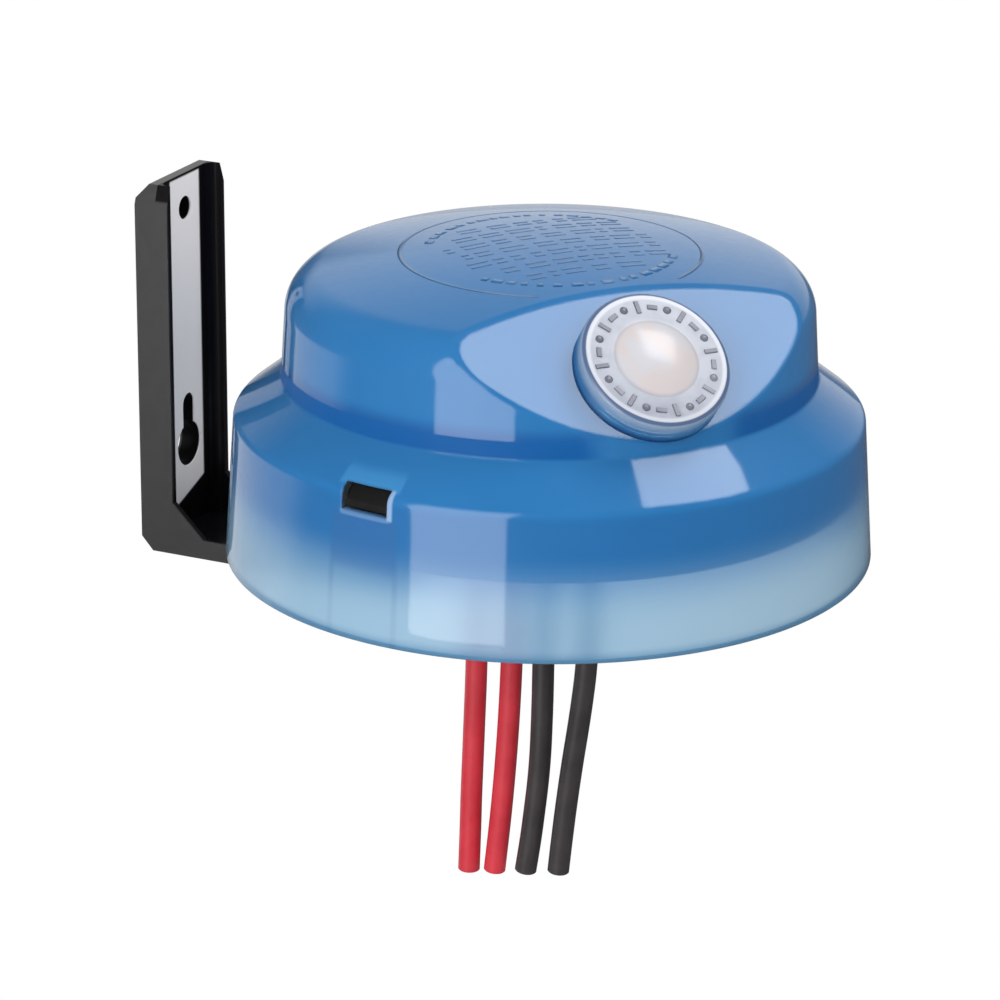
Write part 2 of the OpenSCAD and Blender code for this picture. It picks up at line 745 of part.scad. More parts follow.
// Tube of even thickness along a route, one ring of points for each route point
module lead(index, route) {
    last = len(route) - 1;
    function along(i) = unit(route[min(i + 1, last)] - route[max(i - 1, 0)]);
    function side_y(t) = unit(cross(t, [1, 0, 0]));
    function ring_point(i, k) =
        let (
            t = along(i),
            v = side_y(t),
            u = cross(v, t),
            turn = 360 * (k + 0.5) / lead_sides
        )
        route[i] + lead_d / 2 * (cos(turn) * u + sin(turn) * v);
    points = [for (i = [0:last]) for (k = [0:lead_sides - 1]) ring_point(i, k)];
    sides = [
        for (i = [0:last - 1]) for (k = [0:lead_sides - 1])
            let (a = i * lead_sides, m = (k + 1) % lead_sides)
            [a + k, a + lead_sides + k, a + lead_sides + m, a + m]
    ];
    start = [[for (k = [0:lead_sides - 1]) k]];
    end = [[for (k = [lead_sides - 1:-1:0]) last * lead_sides + k]];
    translate([lead_first_x + index * lead_pitch, 0, 0]) polyhedron(points, concat(sides, start, end));
}

module lead_red_1() {
    color(lead_red) lead(0, red_1_route);
}

module lead_red_2() {
    color(lead_red) lead(1, red_2_route);
}

module lead_black_1() {
    color(lead_black) lead(2, black_1_route);
}

module lead_black_2() {
    color(lead_black) lead(3, black_2_route);
}

cover();
lens();
lens_seal();
sensor_holder();
photocell();
base();
base_seal();
lead_grommet();
bracket();
bracket_screws();
circuit_board();
board_screws();
relay();
film_capacitor();
electrolytic_capacitor();
varistor();
rectifier_diodes();
zener_diode();
resistors();
transistor();
lead_red_1();
lead_red_2();
lead_black_1();
lead_black_2();
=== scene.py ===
import math
import random

import bmesh
import bpy
from mathutils import Matrix, Vector


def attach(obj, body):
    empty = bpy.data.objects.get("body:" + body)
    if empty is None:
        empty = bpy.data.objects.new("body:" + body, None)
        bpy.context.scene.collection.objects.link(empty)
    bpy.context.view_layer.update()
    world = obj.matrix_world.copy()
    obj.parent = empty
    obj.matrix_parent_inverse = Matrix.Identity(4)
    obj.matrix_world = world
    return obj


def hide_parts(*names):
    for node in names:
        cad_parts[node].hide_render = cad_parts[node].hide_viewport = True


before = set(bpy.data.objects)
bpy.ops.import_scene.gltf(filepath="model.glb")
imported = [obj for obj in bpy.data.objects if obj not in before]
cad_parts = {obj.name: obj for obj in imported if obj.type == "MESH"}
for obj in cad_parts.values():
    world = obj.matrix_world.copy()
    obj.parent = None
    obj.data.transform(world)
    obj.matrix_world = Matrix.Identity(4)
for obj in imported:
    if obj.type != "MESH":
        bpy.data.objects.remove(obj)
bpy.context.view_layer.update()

scene = bpy.context.scene
MM = 0.001
AXIS_X = 54.0


# Camera, whose aim is given in pixels of the picture from the centre of the cover's rim

CAM_AZ = math.radians(25.0)
CAM_EL = math.radians(20.2)
CAM_ROLL = math.radians(0.54)
CAM_DIST = 0.5566
FOCAL_PX, PICTURE_PX = 4479.0, 1000.0
AIM_UP_PX, AIM_LEFT_PX = 45.6, 48.5
SENSOR_W = 36.0

pic_right = Vector((math.cos(CAM_AZ), math.sin(CAM_AZ), 0.0))
pic_away = Vector((-math.sin(CAM_AZ), math.cos(CAM_AZ), 0.0))
cam_back = Vector((math.sin(CAM_AZ) * math.cos(CAM_EL), -math.cos(CAM_AZ) * math.cos(CAM_EL),
                   math.sin(CAM_EL)))
cam_up = cam_back.cross(pic_right)
rim_centre = Vector((AXIS_X * MM, 0.0, 0.0))
cam_at = rim_centre + cam_back * CAM_DIST
aim = rim_centre + (cam_up * AIM_UP_PX - pic_right * AIM_LEFT_PX) * (CAM_DIST / FOCAL_PX)
forward = (aim - cam_at).normalized()
level = (pic_right - forward * pic_right.dot(forward)).normalized()
upright = level.cross(forward)
cam_x = math.cos(CAM_ROLL) * level + math.sin(CAM_ROLL) * upright
cam_y = math.cos(CAM_ROLL) * upright - math.sin(CAM_ROLL) * level

camera_data = bpy.data.cameras.new("camera")
camera_data.sensor_fit = "HORIZONTAL"
camera_data.sensor_width = SENSOR_W
camera_data.lens = SENSOR_W * FOCAL_PX / PICTURE_PX
camera_data.clip_start = 0.01
camera_data.clip_end = 50.0
camera = bpy.data.objects.new("camera", camera_data)
camera.matrix_world = Matrix((
    (cam_x.x, cam_y.x, -forward.x, cam_at.x),
    (cam_x.y, cam_y.y, -forward.y, cam_at.y),
    (cam_x.z, cam_y.z, -forward.z, cam_at.z),
    (0.0, 0.0, 0.0, 1.0),
))
scene.collection.objects.link(camera)
scene.camera = camera


# Mesh helpers, in millimetres

def soften(mesh, smooth_deg):
    """Smooth shading, with the edges above an angle kept sharp."""
    mesh.polygons.foreach_set("use_smooth", [True] * len(mesh.polygons))
    mesh.set_sharp_from_angle(angle=math.radians(smooth_deg))
    mesh.update()


def add_mesh(name, verts, faces, smooth_deg=30.0):
    mesh = bpy.data.meshes.new(name)
    mesh.from_pydata([tuple(c * MM for c in v) for v in verts], [], faces)
    mesh.validate()
    bm = bmesh.new()
    bm.from_mesh(mesh)
    bmesh.ops.recalc_face_normals(bm, faces=bm.faces)
    bm.to_mesh(mesh)
    bm.free()
    obj = bpy.data.objects.new(name, mesh)
    scene.collection.objects.link(obj)
    soften(mesh, smooth_deg)
    return obj


def place(verts, matrix):
    return [tuple(matrix @ Vector(v)) for v in verts]


def polar(r, deg):
    return r * math.cos(math.radians(deg)), r * math.sin(math.radians(deg))


def arc(cx, cz, r, a0, a1, n):
    pts = []
    for i in range(n + 1):
        a = math.radians(a0 + (a1 - a0) * i / n)
        pts.append((cx + r * math.cos(a), cz + r * math.sin(a)))
    return pts


def round_corner(a, p, b, r, n):
    """Arc of radius r, in n steps, that rounds the corner p between a and b."""
    a, p, b = Vector(a), Vector(p), Vector(b)
    u = (a - p).normalized()
    w = (b - p).normalized()
    half = math.acos(max(-1.0, min(1.0, u.dot(w)))) / 2
    c = p + (u + w).normalized() * (r / math.sin(half))
    s = p + u * (r / math.tan(half)) - c
    e = p + w * (r / math.tan(half)) - c
    a0 = math.atan2(s.y, s.x)
    turn = (math.atan2(e.y, e.x) - a0 + math.pi * 3) % (math.pi * 2) - math.pi
    angles = [a0 + turn * i / n for i in range(n + 1)]
    return [(c.x + r * math.cos(t), c.y + r * math.sin(t)) for t in angles]


def line(a, b, n):
    return [(a[0] + (b[0] - a[0]) * i / n, a[1] + (b[1] - a[1]) * i / n) for i in range(n + 1)]


def without_doubles(points):
    out = []
    for p in points:
        if not out or abs(p[0] - out[-1][0]) + abs(p[1] - out[-1][1]) > 1e-5:
            out.append(p)
    return out


def revolve(profile, n):
    """Verts and faces of a profile [(r, z)] turned about Z. Points on the axis become single vertices."""
    verts, rings = [], []
    for r, z in profile:
        start = len(verts)
        if r < 1e-6:
            verts.append((0.0, 0.0, z))
        else:
            for k in range(n):
                a = 2 * math.pi * k / n
                verts.append((r * math.cos(a), r * math.sin(a), z))
        rings.append(list(range(start, len(verts))))
    faces = []
    for a, b in zip(rings, rings[1:]):
        for k in range(n):
            m = (k + 1) % n
            if len(a) == 1:
                faces.append((a[0], b[m], b[k]))
            elif len(b) == 1:
                faces.append((a[k], a[m], b[0]))
            else:
                faces.append((a[k], a[m], b[m], b[k]))
    return verts, faces


def box(x0, x1, y0, y1, z0, z1):
    verts = [(x, y, z) for z in (z0, z1) for y in (y0, y1) for x in (x0, x1)]
    faces = [(0, 2, 3, 1), (4, 5, 7, 6), (0, 1, 5, 4), (2, 6, 7, 3), (0, 4, 6, 2), (1, 3, 7, 5)]
    return verts, faces


def strip(points, width, lift, sink, top, surface):
    """Low raised strip along points (x, y) over a surface, with a flat top on a share of its width."""
    verts, faces = [], []
    last = len(points) - 1
    for i, (x, y) in enumerate(points):
        x0, y0 = points[max(i - 1, 0)]
        x1, y1 = points[min(i + 1, last)]
        dx, dy = x1 - x0, y1 - y0
        d = math.hypot(dx, dy)
        nx, ny = -dy / d, dx / d
        for s, up in ((-1.0, -sink), (-top, lift), (top, lift), (1.0, -sink)):
            px, py = x + nx * s * width / 2, y + ny * s * width / 2
            verts.append((px, py, surface(px, py) + up))
    for i in range(last):
        for k in range(3):
            a = 4 * i + k
            faces.append((a, a + 1, a + 5, a + 4))
        faces.append((4 * i + 3, 4 * i, 4 * i + 4, 4 * i + 7))
    faces.append((0, 3, 2, 1))
    faces.append(tuple(range(4 * last, 4 * last + 4)))
    return verts, faces


def merge(parts):
    verts, faces = [], []
    for v, f in parts:
        first = len(verts)
        verts.extend(v)
        faces.extend([tuple(i + first for i in face) for face in f])
    return verts, faces


def cut(obj, tool, operation="DIFFERENCE"):
    """Boolean of obj by tool, kept as obj's own mesh. The tool is removed."""
    mod = obj.modifiers.new("cut", "BOOLEAN")
    mod.operation = operation
    mod.object = tool
    mod.solver = "EXACT"
    bpy.context.view_layer.update()
    done = bpy.data.meshes.new_from_object(obj.evaluated_get(bpy.context.evaluated_depsgraph_get()))
    obj.modifiers.remove(mod)
    old = obj.data
    obj.data = done
    done.name = obj.name
    bpy.data.meshes.remove(old)
    bpy.data.objects.remove(tool)


# Leads, as tubes that repeat the part's routes: the level of the end, and the offset at each level

LEAD_D = 2.8
LEAD_X = (44.4, 49.4, 54.4, 59.4)
LEAD_TOP = 15.5
LEAD_LEVELS = (LEAD_TOP, 8, 4, 0, -4, -8, -12, -16, -20, -24, -28, -32, -36, -40)
LEAD_SIDES, ROUTE_STEPS = 24, 4
BORE_R, BORE_DEPTH, END_ROUND = 0.74, 1.4, 0.1
STRAND_R, STRAND_TIP_R, STRAND_RING_R = 0.23, 0.17, 0.47
ROUTES = {
    "lead_red_1": (-46, (0, 0, 0, 0, -0.05, -0.1, -0.15, -0.2, -0.3, -0.45, -0.6, -0.75, -0.9, -1, -1.2)),
    "lead_red_2": (-45.4, (0, 0, 0, -0.05, -0.1, -0.15, -0.25, -0.3, -0.45, -0.65, -0.9, -1.2, -1.55,
                           -1.95, -2.55)),
    "lead_black_1": (-44.6, (0, 0, -0.1, -0.25, -0.45, -0.65, -0.8, -0.9, -0.95, -1.05, -1.2, -1.5, -1.95,
                             -2.45, -3.15)),
    "lead_black_2": (-43.8, (0, 0, 0.1, 0.25, 0.35, 0.35, 0.2, -0.05, -0.5, -1.05, -1.65, -2.2, -2.7,
                             -3.15, -3.55)),
}


def smooth_route(pts, steps):
    out = []
    for i in range(len(pts) - 1):
        p0 = pts[max(i - 1, 0)]
        p1, p2 = pts[i], pts[i + 1]
        p3 = pts[min(i + 2, len(pts) - 1)]
        for k in range(steps):
            t = k / steps
            out.append(0.5 * (2 * p1 + (p2 - p0) * t + (2 * p0 - 5 * p1 + 4 * p2 - p3) * t * t
                              + (3 * p1 - p0 - 3 * p2 + p3) * t ** 3))
    out.append(pts[-1])
    return out


def square_to(pts, i):
    """Direction of a route at its point i, and two directions square to it."""
    along = (pts[min(i + 1, len(pts) - 1)] - pts[max(i - 1, 0)]).normalized()
    v = along.cross(Vector((1, 0, 0))).normalized()
    return along, v.cross(along), v


def lead_tube(pts):
    """Insulation along pts: closed at the board, with a bored cut at its free end."""
    last = len(pts) - 1
    tip, along = pts[last], square_to(pts, last)[0]
    radius = LEAD_D / 2
    stations = [(p, radius, i) for i, p in enumerate(pts[:-1])]
    stations += [(tip - along * back, r, last) for back, r in (
        (END_ROUND, radius), (0.0, radius - END_ROUND), (0.0, BORE_R + END_ROUND),
        (END_ROUND, BORE_R), (BORE_DEPTH, BORE_R))]
    verts, faces = [], []
    for centre, r, i in stations:
        _, u, v = square_to(pts, i)
        for k in range(LEAD_SIDES):
            a = 2 * math.pi * k / LEAD_SIDES
            verts.append(tuple(centre + (u * math.cos(a) + v * math.sin(a)) * r))
    for s in range(len(stations) - 1):
        for k in range(LEAD_SIDES):
            m = (k + 1) % LEAD_SIDES
            a, b = s * LEAD_SIDES, (s + 1) * LEAD_SIDES
            faces.append((a + k, a + m, b + m, b + k))
    faces.append(tuple(range(LEAD_SIDES)))
    faces.append(tuple(range(len(verts) - LEAD_SIDES, len(verts))))
    return verts, faces


def strand_bundle():
    """Seven copper strands that fill the bore and stand just proud of the cut."""
    v, f = revolve([(0, -BORE_DEPTH), (STRAND_R, -BORE_DEPTH), (STRAND_R, 0.02), (STRAND_TIP_R, 0.1),
                    (0, 0.12)], 12)
    centres = [polar(STRAND_RING_R, 60.0 * s) for s in range(6)] + [(0.0, 0.0)]
    return merge([([(x + cx, y + cy, z) for x, y, z in v], f) for cx, cy in centres])


leads, lead_ends = {}, {}
for index, (node, (end_z, offsets)) in enumerate(ROUTES.items()):
    route = [Vector((x, 0, z)) for x, z in zip(offsets, (*LEAD_LEVELS, end_z))]
    pts = [p + Vector((LEAD_X[index], 0, 0)) for p in smooth_route(route, ROUTE_STEPS)]
    lead = add_mesh(node + "_sleeve", *lead_tube(pts), 40.0)
    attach(lead, "root")
    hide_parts(node)

    along, u, v = square_to(pts, len(pts) - 1)
    turn = Matrix((u, v, along)).transposed().to_4x4()
    verts, faces = strand_bundle()
    end = add_mesh(node + "_strands", place(verts, Matrix.Translation(pts[-1]) @ turn), faces)
    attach(end, "root")
    leads[node], lead_ends[node] = lead, end


# Cover: stepped dome, facet, lens hole and snap windows

RIM_R, SKIRT_H, SKIRT_TOP_R = 40.0, 18.0, 38.8
UPPER_R, SHOULDER_Z, TOP_R = 32.9, 22.6, 32.4
COVER_H, CROWN_R, TOP_EDGE_R, WALL = 39.3, 127.0, 5.4, 1.8
FACET_AZ, FACET_FOOT_Z, FACET_HEAD_R = -39.5, 24.2, 17.5
LENS_UP, LENS_R, LENS_RISE, LENS_HOLE_R = 8.85, 9.2, 3.8, 6.9
RIM_ROUND, SHOULDER_EDGE_R = 0.35, 1.3
SHOULDER_ROOT_W, SHOULDER_ROOT_H, SHOULDER_ROOT_R = 0.2, 0.1, 0.15
CHAMFER_AT_FOOT, CHAMFER_MORE, CHAMFER_STEPS = 0.2, 0.4, 240
WINDOW_AZ, WINDOW_HALF_W, WINDOW_LOW, WINDOW_HIGH = -98.5, 3.2, 15.7, 18.8
POCKET_DEPTH, POCKET_HALF_W, POCKET_LOW, POCKET_HIGH = 0.7, 4.4, 15.0, 21.4
COVER_SIDES, HOLLOW_SIDES = 288, 144
PAST_RIM, PAST_WALL = 0.5, 4.0
FAR = 60.0


def crown_z(x, y):
    """Height of the crown at a place measured from the cover's axis."""
    r = math.hypot(x, y)
    return COVER_H - CROWN_R + math.sqrt(CROWN_R ** 2 - r * r)


head_z = crown_z(FACET_HEAD_R, 0.0)
tilt = math.atan2(UPPER_R - FACET_HEAD_R, head_z - FACET_FOOT_Z)
facet_h = UPPER_R * math.cos(tilt) + FACET_FOOT_Z * math.sin(tilt)
lens_shift = UPPER_R * math.sin(tilt) - FACET_FOOT_Z * math.cos(tilt) - LENS_UP
on_axis = Matrix.Translation((AXIS_X, 0, 0))
on_facet = (on_axis @ Matrix.Rotation(math.radians(FACET_AZ), 4, "Z")
            @ Matrix.Rotation(math.pi / 2 - tilt, 4, "Y") @ Matrix.Translation((lens_shift, 0, facet_h)))


def around(az):
    return on_axis @ Matrix.Rotation(math.radians(az), 4, "Z")


def dome_profile(inset):
    """Outline of the dome from its axis at the rim to its axis at the top, moved inwards by inset."""
    slope = math.atan2(SHOULDER_Z - SKIRT_H, SKIRT_TOP_R - UPPER_R)
    drop = inset * (1 - math.sin(slope)) / math.cos(slope)
    rim = (RIM_R - inset, 0.0)
    edge = (SKIRT_TOP_R - inset, SKIRT_H - drop)
    root = (UPPER_R - inset, SHOULDER_Z - drop)
    root_low = (root[0] + SHOULDER_ROOT_W, root[1] - SHOULDER_ROOT_W * math.tan(slope))
    root_high = (root[0], root[1] + SHOULDER_ROOT_H)
    ball = CROWN_R - inset
    cz = COVER_H - CROWN_R
    rr = TOP_EDGE_R - inset
    rx = TOP_R - TOP_EDGE_R
    rz = cz + math.sqrt((ball - rr) ** 2 - rx ** 2)
    lean = math.degrees(math.asin(rx / (ball - rr)))
    top = (TOP_R - inset, rz)
    if inset > 0:
        pts = [(0.0, -PAST_RIM), (rim[0], -PAST_RIM)]
    else:
        pts = [(0.0, 0.0)] + round_corner((0, 0), rim, edge, RIM_ROUND, 4)
    first = round_corner(rim, edge, root_low, SHOULDER_EDGE_R, 10)
    second = round_corner(edge, root_low, root_high, SHOULDER_ROOT_R, 4)
    upper = round_corner(root_low, root_high, top, SHOULDER_ROOT_R, 6)
    third = arc(rx, rz, rr, 0, 90 - lean, 16)
    pts += line(pts[-1], first[0], 6) + first + line(first[-1], second[0], 2) + second
    pts += line(second[-1], upper[0], 2) + upper + line(upper[-1], third[0], 6) + third
    crown_steps = 20
    for i in range(1, crown_steps + 1):
        a = math.radians(lean * (1 - i / crown_steps))
        pts.append((ball * math.sin(a), cz + ball * math.cos(a)))
    pts[-1] = (0.0, pts[-1][1])
    return without_doubles(pts)


def dome(name, inset, n):
    v, f = revolve(dome_profile(inset), n)
    return add_mesh(name, place(v, on_axis), f)


def facet_block(name, inset):
    """Block that takes away all that lies outside the facet's plane, moved inwards by inset."""
    v, f = box(-FAR, FAR, -FAR, FAR, -inset, FAR)
    return add_mesh(name, place(v, on_facet), f)


def at_windows(x0, x1, half_width, z0, z1):
    """One box at each of the two windows."""
    v, f = box(x0, x1, -half_width, half_width, z0, z1)
    return merge([(place(v, around(az)), f) for az in (WINDOW_AZ, WINDOW_AZ + 180)])


def facet_edge():
    """Wedge that follows the facet's outline and takes a narrow chamfer off its edge."""
    outer = dome_profile(0)[1:]
    face_normal = (on_facet.to_3x3() @ Vector((0, 0, 1))).normalized()
    middle = on_facet @ Vector((0, 0, 0))

    def wall_at(z):
        for (r0, z0), (r1, z1) in zip(outer, outer[1:]):
            if z0 <= z <= z1 and z1 > z0:
                return r0 + (r1 - r0) * (z - z0) / (z1 - z0), r1 - r0, z1 - z0
        return 0.0, -1.0, 0.0

    verts, faces = [], []
    for k in range(CHAMFER_STEPS):
        a = 2 * math.pi * k / CHAMFER_STEPS
        near, far = 0.0, RIM_R
        for _ in range(40):
            half = (near + far) / 2
            p = on_facet @ Vector((half * math.cos(a), half * math.sin(a), 0))
            inside = math.hypot(p.x - AXIS_X, p.y) < wall_at(p.z)[0]
            near, far = (half, far) if inside else (near, half)
        _, dr, dz = wall_at(p.z)
        bearing = math.atan2(p.y, p.x - AXIS_X)
        skin = Vector((dz * math.cos(bearing), dz * math.sin(bearing), -dr)).normalized()
        along = face_normal.cross(skin).normalized()
        inward = face_normal.cross(along)
        inward *= 1 if inward.dot(middle - p) > 0 else -1
        down = skin.cross(along)
        down *= 1 if down.dot(face_normal) < 0 else -1
        width = CHAMFER_AT_FOOT + CHAMFER_MORE * max(skin.z, 0.0)
        corners = (inward, down, face_normal + skin)
        verts += [tuple(p + corner * width) for corner in corners]
        s, e = 3 * k, 3 * ((k + 1) % CHAMFER_STEPS)
        faces += [(s + i, s + (i + 1) % 3, e + (i + 1) % 3, e + i) for i in range(3)]
    return verts, faces


cover = dome("cover_shell", 0, COVER_SIDES)
hollow = dome("hollow", WALL, HOLLOW_SIDES)
cut(hollow, facet_block("plane", WALL))
cut(cover, facet_block("plane", 0))
cut(cover, add_mesh("edge", *facet_edge()))
cut(cover, hollow)
v, f = revolve([(0, -PAST_WALL), (LENS_HOLE_R, -PAST_WALL), (LENS_HOLE_R, PAST_WALL), (0, PAST_WALL)], 96)
cut(cover, add_mesh("hole", place(v, on_facet), f))
pocket_skin = dome("pocket_skin", WALL - POCKET_DEPTH, HOLLOW_SIDES)
pockets = at_windows(31, 46, POCKET_HALF_W, POCKET_LOW, POCKET_HIGH)
cut(pocket_skin, add_mesh("pockets", *pockets), "INTERSECT")
cut(cover, pocket_skin)
openings = at_windows(33, 46, WINDOW_HALF_W, WINDOW_LOW, WINDOW_HIGH)
cut(cover, add_mesh("openings", *openings))
soften(cover.data, 14.0)
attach(cover, "root")
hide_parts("cover")


# Relief on the crown: a ring, two arcs of plain blocks and rows of plain dashes

RELIEF_TOP = 0.45
RING_R, RING_W = 18.4, 0.7
BLOCK_R, BLOCK_W, BLOCK_SPAN = 15.0, 1.5, 58.0
DASH_W, DASH_REACH = 0.8, 13.0
DASH_ROWS = (10.0, 6.6, 3.2, -0.2, -3.6, -7.0, -10.4)
DASH_PAIR = (-0.65, 0.65)

rng = random.Random(7)
ring = [polar(RING_R, 2.5 * k - 60.0) for k in range(121)]
relief = [strip(ring, RING_W, 0.02, 0.02, RELIEF_TOP, crown_z)]
for middle in (90, 270):
    a = middle - BLOCK_SPAN
    while a < middle + BLOCK_SPAN:
        wide = rng.choice((3.0, 4.2, 5.4))
        block = [polar(BLOCK_R, a + wide * k / 4) for k in range(5)]
        relief.append(strip(block, BLOCK_W, 0.05, 0.03, RELIEF_TOP, crown_z))
        a += wide + rng.choice((2.0, 2.6, 4.2))
for y in DASH_ROWS:
    half = math.sqrt(DASH_REACH ** 2 - y * y)
    x = -half + rng.choice((0.0, 0.6, 1.3))
    while x < half - 0.8:
        wide = rng.choice((0.9, 1.3, 1.9, 2.6, 3.2))
        for part in DASH_PAIR:
            dash = [(x, y + part), (x + wide, y + part)]
            relief.append(strip(dash, DASH_W, 0.045, 0.03, RELIEF_TOP, crown_z))
        x += wide + rng.choice((0.8, 1.0, 1.4))
v, f = merge(relief)
crown_relief = add_mesh("crown_relief", place(v, around(FACET_AZ + 90)), f, 50.0)
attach(crown_relief, "root")


# Lens: cap with a domed centre, a rounded rim and a neck, and a ring of plain marks on its face

DOME_R, DOME_H, DOME_STEPS = 5.2, 0.9, 24
NECK_R, NECK_BORE_R, NECK_END = 6.8, 5.6, -4.2
SEAL_IN_R, SEAL_OUT_R, SEAL_DEPTH = 7.1, 8.3, 0.8
LENS_EDGE_R, LENS_FOOT = 0.7, 0.2
ball = (DOME_R ** 2 + DOME_H ** 2) / (2 * DOME_H)
dome_lean = math.degrees(math.asin(DOME_R / ball))
profile = [(0, LENS_RISE - 2.2), (4.8, LENS_RISE - 2.2), (NECK_BORE_R, LENS_RISE - 3.0),
           (NECK_BORE_R, NECK_END), (NECK_R, NECK_END), (NECK_R, 0.0),
           (SEAL_IN_R, 0.0), (SEAL_IN_R, SEAL_DEPTH), (SEAL_OUT_R, SEAL_DEPTH), (SEAL_OUT_R, 0.0),
           (LENS_R - LENS_FOOT, 0.0), (LENS_R, LENS_FOOT)]
profile += arc(LENS_R - LENS_EDGE_R, LENS_RISE - LENS_EDGE_R, LENS_EDGE_R, 0, 90, 8)
profile += round_corner((LENS_R - LENS_EDGE_R, LENS_RISE), (DOME_R, LENS_RISE),
                        (DOME_R - 1, LENS_RISE + 0.36), 0.6, 4)
for i in range(3, DOME_STEPS + 1):
    a = math.radians(dome_lean * (1 - i / DOME_STEPS))
    profile.append((ball * math.sin(a), LENS_RISE + DOME_H - ball + ball * math.cos(a)))
profile[-1] = (0.0, profile[-1][1])
v, f = revolve(without_doubles(profile), 128)
lens = add_mesh("lens_body", place(v, on_facet), f, 35.0)
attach(lens, "root")
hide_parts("lens")

MARK_COUNT, MARK_H, MARK_SINK, MARK_TOP = 24, 0.16, 0.1, 0.7
TICK_FROM, TICK_TO, DOT_AT, DASH_AT = 6.25, 7.85, 7.1, 7.05


def lens_face(x, y):
    return LENS_RISE


def lens_mark(kind, az):
    """Plain mark on the lens face: a radial tick, a dot or a short dash along the ring."""
    if kind == 0:
        tick = [polar(TICK_FROM, az), polar(TICK_TO, az)]
        return strip(tick, 0.7, MARK_H, MARK_SINK, MARK_TOP, lens_face)
    if kind == 1:
        v, f = revolve([(0.5, -MARK_SINK), (0.5, 0.06), (0.36, 0.14), (0.0, MARK_H)], 16)
        cx, cy = polar(DOT_AT, az)
        return [(x + cx, y + cy, z + LENS_RISE) for x, y, z in v], f
    dash = [polar(DASH_AT, az + 2.5 * q - 5.0) for q in range(5)]
    return strip(dash, 0.75, MARK_H, MARK_SINK, MARK_TOP, lens_face)


v, f = merge([lens_mark(k % 3, k * 360.0 / MARK_COUNT) for k in range(MARK_COUNT)])
lens_marks = add_mesh("lens_marks", place(v, on_facet), f, 40.0)
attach(lens_marks, "root")


# Bracket and base: the part's own shapes, smoothly shaded, the bracket with rounded edges

def rounded_copy(node, name, width):
    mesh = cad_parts[node].data.copy()
    mesh.name = name
    bm = bmesh.new()
    bm.from_mesh(mesh)
    bmesh.ops.remove_doubles(bm, verts=bm.verts, dist=2e-6)
    bmesh.ops.dissolve_limit(bm, angle_limit=math.radians(0.6), verts=bm.verts, edges=bm.edges)
    bm.to_mesh(mesh)
    bm.free()
    if "custom_normal" in mesh.attributes:
        mesh.attributes.remove(mesh.attributes["custom_normal"])
    obj = bpy.data.objects.new(name, mesh)
    scene.collection.objects.link(obj)
    soften(mesh, 30.0)
    if width > 0:
        bev = obj.modifiers.new("edges", "BEVEL")
        bev.width = width * MM
        bev.segments = 3
        bev.limit_method = "ANGLE"
        bev.angle_limit = math.radians(25.0)
        bev.use_clamp_overlap = True
        bev.harden_normals = True
    mesh.materials.clear()
    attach(obj, "root")
    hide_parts(node)
    return obj


bracket = rounded_copy("bracket", "bracket_body", 0.4)
base = rounded_copy("base", "base_body", 0.0)


# Materials

